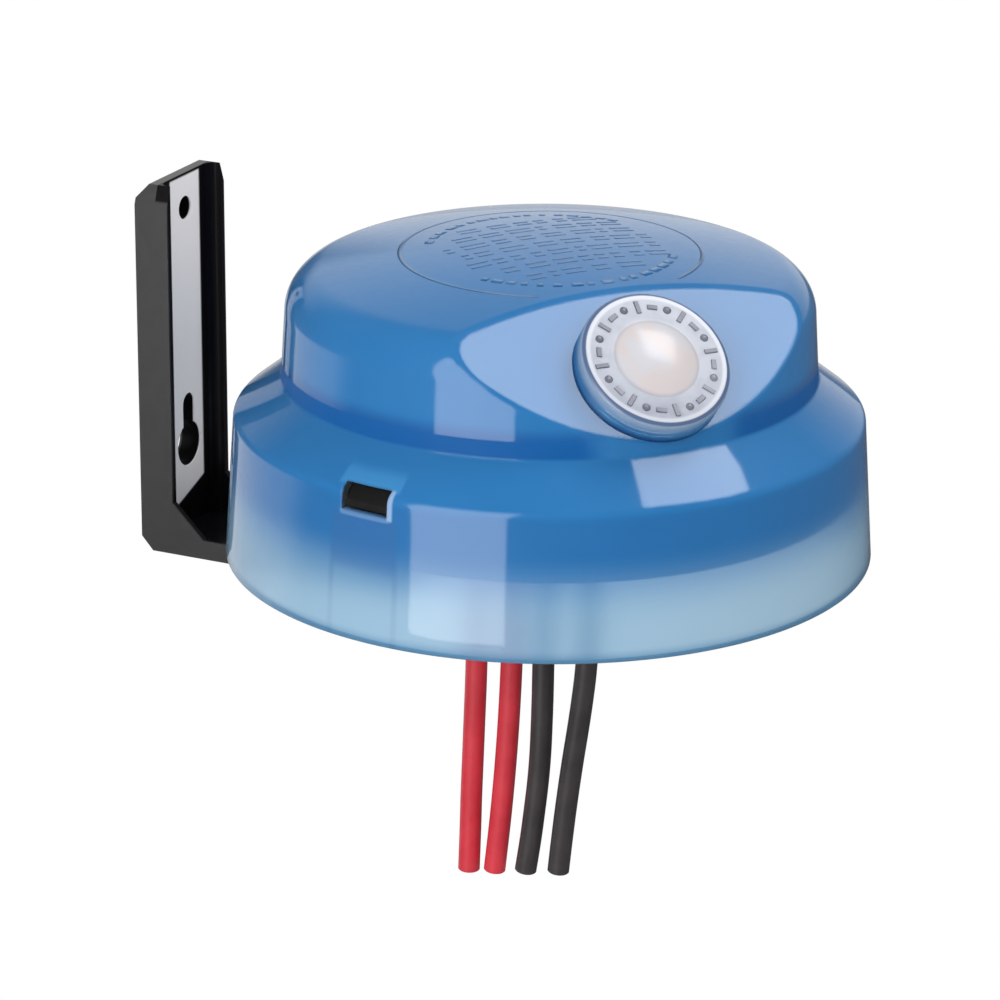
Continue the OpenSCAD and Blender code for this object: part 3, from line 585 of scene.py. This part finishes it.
class Paint:
    """Small helper that builds the nodes of one material, or of the world."""

    def __init__(self, name, world=None):
        self.mat = world or bpy.data.materials.new(name)
        self.mat.use_nodes = True
        self.tree = self.mat.node_tree
        self.tree.nodes.clear()
        self.out = self.node("ShaderNodeOutputWorld" if world else "ShaderNodeOutputMaterial")
        self.coord = self.node("ShaderNodeTexCoord")

    def node(self, kind):
        return self.tree.nodes.new(kind)

    def link(self, a, b):
        self.tree.links.new(a, b)

    def feed(self, socket, value):
        """Sets a socket to a number or a colour, or links a node's output to it."""
        if isinstance(value, (int, float)):
            socket.default_value = value
        elif isinstance(value, tuple):
            socket.default_value = (*value, 1.0)
        else:
            self.link(value, socket)

    def split(self, vector):
        n = self.node("ShaderNodeSeparateXYZ")
        self.link(vector, n.inputs[0])
        return n.outputs[0], n.outputs[1], n.outputs[2]

    def math(self, op, *values):
        n = self.node("ShaderNodeMath")
        n.operation = op
        for socket, value in zip(n.inputs, values):
            self.feed(socket, value)
        return n.outputs[0]

    def times(self, first, *others):
        for value in others:
            first = self.math("MULTIPLY", first, value)
        return first

    def length(self, x, y):
        return self.math("SQRT", self.math("ADD", self.times(x, x), self.times(y, y)))

    def step(self, value, lo, hi, out0=0.0, out1=1.0, kind="SMOOTHSTEP"):
        n = self.node("ShaderNodeMapRange")
        n.interpolation_type = kind
        self.link(value, n.inputs["Value"])
        n.inputs["From Min"].default_value = lo
        n.inputs["From Max"].default_value = hi
        n.inputs["To Min"].default_value = out0
        n.inputs["To Max"].default_value = out1
        return n.outputs[0]

    def rise(self, value, lo, hi):
        """Goes from 0 to 1 between two lengths in millimetres."""
        return self.step(value, lo * MM, hi * MM)

    def fall(self, value, lo, hi):
        """Goes from 1 to 0 between two lengths in millimetres."""
        return self.step(value, lo * MM, hi * MM, 1.0, 0.0)

    def band(self, value, start, end):
        """Rises over the lengths in start and falls over those in end."""
        return self.times(self.rise(value, *start), self.fall(value, *end))

    def noise(self, scale, detail):
        n = self.node("ShaderNodeTexNoise")
        n.inputs["Scale"].default_value = scale
        n.inputs["Detail"].default_value = detail
        self.link(self.coord.outputs["Object"], n.inputs["Vector"])
        return n.outputs["Fac"]

    def mix(self, fac, a, b):
        n = self.node("ShaderNodeMix")
        n.data_type = "RGBA"
        self.link(fac, n.inputs[0])
        self.feed(n.inputs[6], a)
        self.feed(n.inputs[7], b)
        return n.outputs[2]

    def bump(self, height, strength, distance, bevel=0.0):
        n = self.node("ShaderNodeBump")
        n.inputs["Strength"].default_value = strength
        n.inputs["Distance"].default_value = distance
        self.link(height, n.inputs["Height"])
        if bevel:
            self.link(self.bevel(bevel), n.inputs["Normal"])
        return n.outputs[0]

    def bevel(self, radius):
        n = self.node("ShaderNodeBevel")
        n.samples = 4
        n.inputs["Radius"].default_value = radius
        return n.outputs[0]

    def shader(self, color, rough, **values):
        n = self.node("ShaderNodeBsdfPrincipled")
        self.feed(n.inputs["Base Color"], color)
        self.feed(n.inputs["Roughness"], rough)
        for key, value in values.items():
            self.feed(n.inputs[key.replace("_", " ")], value)
        return n

    def blend(self, fac, first, second):
        """Mix of two shaders, which is the second where fac is 1."""
        n = self.node("ShaderNodeMixShader")
        self.link(fac, n.inputs[0])
        self.link(first.outputs[0], n.inputs[1])
        self.link(second.outputs[0], n.inputs[2])
        return n

    def done(self, shader):
        self.link(shader.outputs[0], self.out.inputs["Surface"])
        return self.mat


def lin(r, g, b):
    """Linear colour from an sRGB one in 0 to 255."""
    out = []
    for c in (r, g, b):
        c /= 255.0
        out.append(c / 12.92 if c <= 0.04045 else ((c + 0.055) / 1.055) ** 2.4)
    return tuple(out)


def plastic(name, color, dark, rough, ior=1.5, coat=0.0, scale=120.0, bevel=0.0, metal=0.0):
    """Moulded or coated surface: slow colour drift, fine grain in the gloss and a slight grain bump."""
    p = Paint(name)
    drift = p.step(p.noise(scale, 4.0), 0.35, 0.65)
    fine = p.noise(600.0, 2.0)
    tone = p.mix(drift, color, dark)
    gloss = p.step(fine, 0.3, 0.7, rough * 0.85, rough * 1.15)
    normal = p.bump(fine, 0.05, 0.00004, bevel)
    return p.done(p.shader(tone, gloss, IOR=ior, Coat_Weight=coat, Coat_Roughness=0.05, Metallic=metal,
                           Normal=normal))


def paint(obj, *materials):
    obj.data.materials.clear()
    for m in materials:
        obj.data.materials.append(m)


WINDOW_AT_R = 39.2


def cover_material():
    """Milky blue with painted light and shade: pale low on the skirt as painted backlight, painted shade
    under the shoulder, at the shoulder's root and along the rim, and at each window a painted highlight on
    its edge, a painted light patch above, a darker patch below and darker lines beside.
    """
    p = Paint("blue_translucent")
    x, y, z = p.split(p.coord.outputs["Object"])
    bearing = p.math("ARCTAN2", y, p.math("SUBTRACT", x, AXIS_X * MM))
    from_facet = p.math("ABSOLUTE", p.math("SUBTRACT", bearing, math.radians(FACET_AZ)))
    beside = p.step(from_facet, math.radians(12.0), math.radians(20.0))
    from_window = p.math("SUBTRACT", bearing, math.radians(WINDOW_AZ))
    sway = p.times(p.math("WRAP", from_window, math.pi / 2, -math.pi / 2), WINDOW_AT_R * MM)
    across = p.math("ABSOLUTE", sway)

    pocket = p.fall(across, 4.2, 4.7)
    # Painted light: a lighter patch on the pocket just above each window.
    above = p.times(pocket, p.band(z, (18.4, 18.8), (19.6, 20.8)))
    below = p.times(pocket, p.band(z, (8.0, 10.0), (15.0, 15.8)))
    guide = p.times(p.band(across, (3.9, 4.4), (4.6, 5.2)), p.fall(z, 15.0, 15.8))
    # Painted highlight: a light line on one side edge of each window and, fainter, along its foot.
    highlight_side = p.times(p.band(sway, (3.1, 3.3), (3.7, 4.1)), p.band(z, (15.2, 15.6), (18.6, 19.0)))
    highlight_foot = p.times(p.fall(across, 3.3, 3.7), p.band(z, (15.0, 15.3), (15.7, 15.8)))
    painted_edge_highlight = p.math("MAXIMUM", highlight_side, p.times(highlight_foot, 0.35))
    # Painted shade: a darker band at the shoulder's root, away from the facet; its lower part also loses
    # the coat.
    root = p.times(p.rise(z, 22.4, 22.9), beside)
    fold = p.times(root, p.fall(z, 24.6, 24.9))
    painted_root_shade = p.times(root, p.fall(z, 24.6, 26.8))
    # Painted backlight: the skirt is paler low down, where light from behind would show through.
    painted_backlight = p.fall(z, 5.0, 13.2)
    # Painted shade: a darker line along the bottom of the rim, in the milky layer and in the clear one.
    rim = p.fall(z, 0.4, 1.8)
    # Painted shade under the shoulder: the skirt is darker below the shoulder's edge.
    skirt = p.times(p.fall(z, 16.8, 18.0), 0.5)

    tone = p.mix(p.step(p.noise(60.0, 3.0), 0.3, 0.7), (0.021, 0.174, 0.440), (0.018, 0.163, 0.418))
    tone = p.mix(skirt, tone, (0.014, 0.118, 0.335))
    for mask, share, color in (
            (painted_backlight, 0.85, (0.185, 0.355, 0.525)),
            (painted_root_shade, 0.85, (0.003, 0.088, 0.320)),
            (above, 0.5, (0.06, 0.30, 0.62)),
            (below, 0.5, (0.035, 0.13, 0.34)),
            (guide, 0.28, (0.03, 0.13, 0.32)),
            (painted_edge_highlight, 0.55, (0.46, 0.62, 0.84)),
            (rim, 0.6, (0.05, 0.19, 0.36))):
        tone = p.mix(p.times(mask, share), tone, color)

    fine = p.noise(900.0, 2.0)
    gloss = p.step(fine, 0.3, 0.7, 0.42, 0.5)
    edge_r = 0.6 * MM
    coat = {"Coat_Weight": p.step(fold, 0.0, 1.0, 1.0, 0.0), "Coat_Roughness": 0.06, "Coat_IOR": 1.5,
            "Normal": p.bump(fine, 0.02, 0.00002, edge_r), "Coat_Normal": p.bevel(edge_r)}
    milk = p.shader(tone, gloss, IOR=1.5, Specular_IOR_Level=0.1, **coat)
    veil_tone = p.mix(rim, (0.66, 0.84, 0.74), (0.22, 0.36, 0.44))
    veil = p.shader(veil_tone, 0.42, IOR=1.12, Transmission_Weight=1.0, **coat)
    return p.done(p.blend(p.step(z, 3.0 * MM, 11.5 * MM, 0.25, 0.13), milk, veil))


def cover_inside_material():
    """Inner skin of the translucent cover: lets through what lies behind it, blurred by its satin grain."""
    p = Paint("blue_translucent_inside")
    gloss = p.step(p.noise(900.0, 2.0), 0.3, 0.7, 0.46, 0.54)
    tone = p.mix(p.step(p.noise(60.0, 3.0), 0.3, 0.7), (0.93, 0.97, 1.0), (0.90, 0.95, 0.99))
    return p.done(p.shader(tone, gloss, IOR=1.12, Transmission_Weight=1.0))


def lens_material():
    """Frosted face, pale partly as a painted reflection, with a warmer centre, a paler ring and a painted
    shade at its edge, over a clear blue wall with painted light at its top and painted shade at its foot.
    """
    p = Paint("clear_lens")
    move = p.node("ShaderNodeMapping")
    back = on_facet.inverted()
    move.inputs["Rotation"].default_value = back.to_3x3().to_euler()
    move.inputs["Location"].default_value = back.to_translation() * MM
    p.link(p.coord.outputs["Object"], move.inputs["Vector"])
    x, y, height = p.split(move.outputs[0])
    r = p.length(x, y)
    face = p.times(p.fall(r, 8.98, 9.08), p.rise(height, 3.1, 3.4))
    centre = p.fall(r, 4.6, 5.6)
    # The face's pale tones stand partly for a painted reflection of the lamp above.
    warm = p.mix(p.step(p.noise(260.0, 3.0), 0.36, 0.62), (0.60, 0.60, 0.64), (0.63, 0.57, 0.57))
    ring_tone = p.mix(p.step(p.noise(420.0, 3.0), 0.35, 0.65), (0.33, 0.36, 0.44), (0.39, 0.42, 0.50))
    ring_tone = p.mix(p.rise(r, 7.9, 8.3), ring_tone, (0.56, 0.59, 0.66))
    # Painted shade: a dark line at the face's outer edge, where it meets the wall.
    ring_tone = p.mix(p.rise(r, 8.55, 8.70), ring_tone, (0.09, 0.14, 0.27))
    white = p.mix(centre, ring_tone, warm)
    edge_r = 0.25 * MM
    normal = p.bump(p.noise(700.0, 2.0), 0.03, 0.00002, edge_r)
    frost = p.shader(white, 0.3, IOR=1.5, Transmission_Weight=0.15, Coat_Weight=0.35, Coat_Roughness=0.12,
                     Normal=normal, Coat_Normal=p.bevel(edge_r))
    wall = p.mix(p.step(p.noise(170.0, 2.0), 0.35, 0.65), (0.06, 0.24, 0.54), (0.10, 0.32, 0.64))
    # Painted light: the wall is lighter towards its top.
    wall = p.mix(p.rise(height, 1.4, 3.2), wall, (0.40, 0.56, 0.78))
    # Painted shade: the wall is darker at its foot, by the facet.
    wall = p.mix(p.fall(height, 0.2, 1.4), wall, (0.012, 0.06, 0.22))
    clear = p.shader(wall, 0.08, IOR=1.49, Transmission_Weight=0.5, Normal=normal)
    return p.done(p.blend(face, clear, frost))


def bracket_material():
    """Glossy black moulding; its web between the flanges is painted light grey as a painted reflection, and
    the channel and the bore are a darker black as painted shade.
    """
    p = Paint("black_plastic_gloss")
    x, side, z = p.split(p.coord.outputs["Object"])
    y = p.math("ABSOLUTE", side)
    between = p.times(p.rise(x, 2.75, 2.90), p.fall(y, 7.0, 7.2))
    plane = p.times(between, p.fall(x, 3.05, 3.25))
    foot = p.math("SUBTRACT", z, p.times(side, 0.33))
    ends = p.times(p.rise(foot, -0.9, -0.5), p.fall(z, 41.1, 41.4))
    web = p.times(plane, ends, p.fall(y, 3.4, 3.9))
    bore = p.times(p.band(x, (0.2, 0.4), (2.75, 2.90)), p.fall(y, 3.1, 3.3),
                   p.band(z, (1.0, 1.4), (40.0, 40.4)))
    between = p.math("MAXIMUM", between, bore)
    fine = p.noise(900.0, 2.0)
    grain = p.noise(1500.0, 2.0)
    black_tone = p.mix(grain, (0.025, 0.024, 0.025), (0.028, 0.027, 0.028))
    # Painted shade: a darker black inside the channel between the flanges and in the bore.
    black_tone = p.mix(between, black_tone, (0.004, 0.003, 0.004))
    # Painted reflection: the web between the flanges is light grey, standing in for the bright surroundings
    # mirrored in the black plastic.
    painted_reflection_tone = p.mix(grain, (0.88, 0.85, 0.84), (0.92, 0.89, 0.88))
    tone = p.mix(web, black_tone, painted_reflection_tone)
    gloss = p.step(fine, 0.3, 0.7, 0.28, 0.31)
    shine = p.step(p.math("SUBTRACT", between, web), 0.0, 1.0, 0.6, 0.1)
    normal = p.bump(fine, 0.01, 0.00002)
    return p.done(p.shader(tone, gloss, IOR=1.6, Specular_IOR_Level=shine, Normal=normal))


# The cover's inner faces, which look towards the middle of its hollow, get the second material
cover_mat = cover_material()
paint(cover, cover_mat, cover_inside_material())
heart = Vector((AXIS_X, 0, 12)) * MM
for face in cover.data.polygons:
    face.material_index = int(face.normal.dot(face.center - heart) < -1e-4)
paint(crown_relief, cover_mat)
paint(lens, lens_material())
paint(lens_marks, plastic("lens_mark_grey", lin(118, 122, 136), lin(92, 96, 112), 0.35, coat=0.3))
lens.visible_glossy = False
lens_marks.visible_glossy = False
paint(bracket, bracket_material())
paint(base, plastic("black_plastic", (0.006, 0.005, 0.005), (0.009, 0.008, 0.008), 0.45, ior=1.35,
                    bevel=0.3 * MM))
red = plastic("red_insulation", lin(198, 40, 56), lin(188, 33, 49), 0.44, coat=0.1, scale=200.0)
black = plastic("black_insulation", lin(58, 53, 54), lin(50, 46, 47), 0.4, coat=0.2, scale=200.0)
copper = plastic("copper_strand", (0.80, 0.38, 0.20), (0.70, 0.32, 0.17), 0.3, metal=1.0)
for node, lead in leads.items():
    paint(lead, red if "red" in node else black)
    paint(lead_ends[node], copper)

rubber = plastic("black_rubber", (0.015, 0.015, 0.015), (0.022, 0.022, 0.022), 0.7)
steel = plastic("screw_steel", (0.60, 0.60, 0.61), (0.52, 0.52, 0.53), 0.3, metal=1.0, bevel=0.2 * MM)
CARRIED = {
    "lens_seal": rubber,
    "sensor_holder": plastic("white_plastic", (0.80, 0.80, 0.78), (0.74, 0.74, 0.72), 0.45),
    "photocell": plastic("sensor_ceramic", (0.78, 0.58, 0.46), (0.70, 0.50, 0.38), 0.45),
    "base_seal": rubber,
    "lead_grommet": rubber,
    "bracket_screws": steel,
    "board_screws": steel,
    "circuit_board": plastic("board_laminate", (0.03, 0.11, 0.05), (0.022, 0.085, 0.04), 0.4, coat=0.4),
    "relay": plastic("relay_case", (0.02, 0.05, 0.13), (0.016, 0.04, 0.10), 0.35, coat=0.3),
    "film_capacitor": plastic("capacitor_case", (0.38, 0.24, 0.03), (0.32, 0.20, 0.025), 0.35, coat=0.4),
    "electrolytic_capacitor": plastic("can_sleeve", (0.02, 0.02, 0.03), (0.03, 0.03, 0.04), 0.3, coat=0.3),
    "varistor": plastic("varistor_coat", (0.02, 0.08, 0.35), (0.015, 0.06, 0.28), 0.35, coat=0.4),
    "rectifier_diodes": plastic("component_black", (0.016, 0.016, 0.016), (0.024, 0.024, 0.024), 0.5),
    "zener_diode": plastic("zener_glass", (0.40, 0.12, 0.04), (0.30, 0.08, 0.03), 0.15, coat=1.0),
    "resistors": plastic("resistor_coat", (0.56, 0.40, 0.22), (0.48, 0.33, 0.18), 0.4, coat=0.3),
    "transistor": plastic("transistor_black", (0.016, 0.016, 0.016), (0.024, 0.024, 0.024), 0.5),
}
for node, material in CARRIED.items():
    paint(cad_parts[node], material)


# Floor, lamps and world

FLOOR_Z = -280.0
FLOOR_RINGS = (0.0, 600.0, 1500.0, 3000.0, 6000.0)
LAMP_AIM = Vector((AXIS_X * MM, 0.0, 0.02))
LAMP_DIST = 0.8
MIRROR_DARK = 0.1

v, f = revolve([(r, FLOOR_Z) for r in FLOOR_RINGS], 96)
floor = add_mesh("floor", place(v, on_axis), f)


def floor_material():
    """Matte under the light, white to the eye, and dark in reflections but for two pale parts behind."""
    p = Paint("pale_floor")
    ray = p.node("ShaderNodeLightPath").outputs
    matte = p.node("ShaderNodeBsdfDiffuse")
    p.link(p.mix(p.noise(3.0, 2.0), (0.80, 0.80, 0.80), (0.82, 0.82, 0.82)), matte.inputs["Color"])
    x, y, _ = p.split(p.coord.outputs["Object"])
    x = p.math("SUBTRACT", x, AXIS_X * MM)
    away = p.math("ADD", p.times(x, pic_away.x), p.times(y, pic_away.y))
    right = p.math("ADD", p.times(x, pic_right.x), p.times(y, pic_right.y))
    slant = p.math("DIVIDE", p.math("ABSOLUTE", right), p.math("MAXIMUM", away, 0.01))
    near_left = p.times(p.step(away, 0.0, 0.35), p.step(right, -0.45, -0.05, 1.0, 0.0),
                        p.step(p.length(x, y), 1.3, 1.8, 1.0, 0.0))
    far_back = p.times(p.step(away, 0.9, 1.3), p.step(slant, 0.15, 0.28, 1.0, 0.0), 0.75)
    behind = p.math("MAXIMUM", near_left, far_back)
    mirror = p.times(p.math("ADD", p.times(behind, 0.7), MIRROR_DARK), ray["Is Glossy Ray"])
    straight = p.math("MAXIMUM", ray["Is Camera Ray"], ray["Is Transmission Ray"])
    glow = p.node("ShaderNodeEmission")
    p.link(p.math("MAXIMUM", straight, mirror), glow.inputs["Strength"])
    return p.done(p.blend(p.math("MAXIMUM", straight, ray["Is Glossy Ray"]), matte, glow))


paint(floor, floor_material())


def softbox(name, toward, width, height, radiance):
    """Area lamp in a direction given in the picture's frame: right, away, up."""
    d = (pic_right * toward[0] + pic_away * toward[1] + Vector((0, 0, toward[2]))).normalized()
    data = bpy.data.lights.new(name, "AREA")
    data.shape = "RECTANGLE"
    data.size = width
    data.size_y = height
    data.energy = radiance * math.pi * width * height
    lamp = bpy.data.objects.new(name, data)
    spot = Matrix.Translation(LAMP_AIM + d * LAMP_DIST)
    lamp.matrix_world = spot @ d.to_track_quat("Z", "Y").to_matrix().to_4x4()
    scene.collection.objects.link(lamp)


def from_front(left_deg, up_deg):
    """Direction towards the camera's side, turned left and up."""
    a, e = math.radians(left_deg), math.radians(up_deg)
    return (-math.sin(a) * math.cos(e), -math.cos(a) * math.cos(e), math.sin(e))


softbox("softbox_left", from_front(31, 12), 0.52, 1.0, 3.5)
softbox("softbox_top", (0.457, 0.14, 0.88), 0.40, 0.33, 5.5)


def studio_world():
    """White to the eye, a soft surround for diffuse light, and a white wall behind for reflections."""
    world = bpy.data.worlds.new("studio")
    p = Paint("studio", world)
    ray = p.node("ShaderNodeLightPath").outputs

    def facing(axis):
        dot = p.node("ShaderNodeVectorMath")
        dot.operation = "DOT_PRODUCT"
        p.link(p.coord.outputs["Generated"], dot.inputs[0])
        dot.inputs[1].default_value = axis
        return dot.outputs["Value"]

    up, right, away = facing(Vector((0, 0, 1))), facing(pic_right), facing(pic_away)
    soft = p.math("ADD", p.step(up, 0.0, 1.0, 0.42, 1.0), p.step(right, 0.0, 0.9, 0.0, 0.75))
    wall = p.step(away, 0.60, 0.995, kind="LINEAR")
    side = p.math("MAXIMUM", p.step(right, -0.20, -0.08), p.step(up, 0.12, 0.30))
    mirror = p.math("ADD", p.times(wall, side, 0.9), MIRROR_DARK)
    strength = p.node("ShaderNodeMix")
    p.link(ray["Is Glossy Ray"], strength.inputs[0])
    p.link(soft, strength.inputs[2])
    p.link(mirror, strength.inputs[3])
    straight = p.math("MAXIMUM", ray["Is Camera Ray"], ray["Is Transmission Ray"])
    background = p.node("ShaderNodeBackground")
    p.link(p.math("MAXIMUM", straight, strength.outputs[0]), background.inputs["Strength"])
    p.done(background)
    return world


scene.world = studio_world()
scene.view_settings.view_transform = "Standard"
